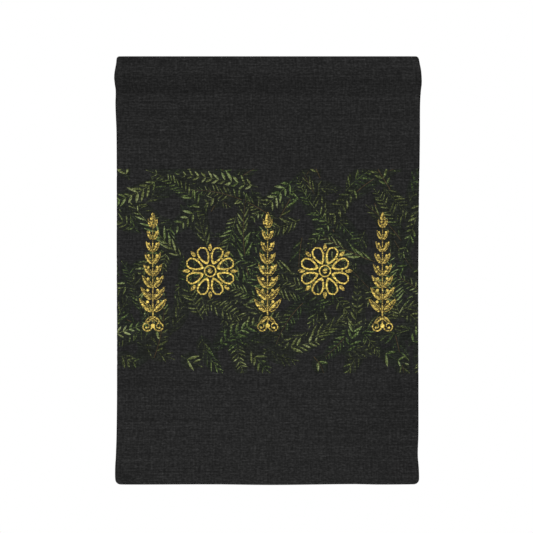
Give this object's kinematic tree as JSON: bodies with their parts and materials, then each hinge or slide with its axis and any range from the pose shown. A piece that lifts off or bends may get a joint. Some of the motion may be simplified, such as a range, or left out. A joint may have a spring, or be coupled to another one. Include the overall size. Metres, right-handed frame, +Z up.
{
  "type": "wall tapestry",
  "caption": "Tall dark woven wall hanging with an open rod pocket sewn across its head, narrow side hems, a deep foot hem and a printed band of leaves and gold ornament.",
  "frame": {"origin": "middle of the top fold, which the rod holds up", "axes": "+Z up along the hanging cloth, +X to the right as seen from the front, front faces -Y"},
  "size_m": [0.7228, 0.025, 1.008],
  "materials": {
    "cloth": "matt plain-woven polyester canvas, charcoal black",
    "leaf_print": "olive green printed into the weave",
    "gold_print": "old gold printed into the weave"
  },
  "bodies": {
    "root": {"panel": "cloth", "rod_pocket": "cloth"}
  },
  "joints": []
}
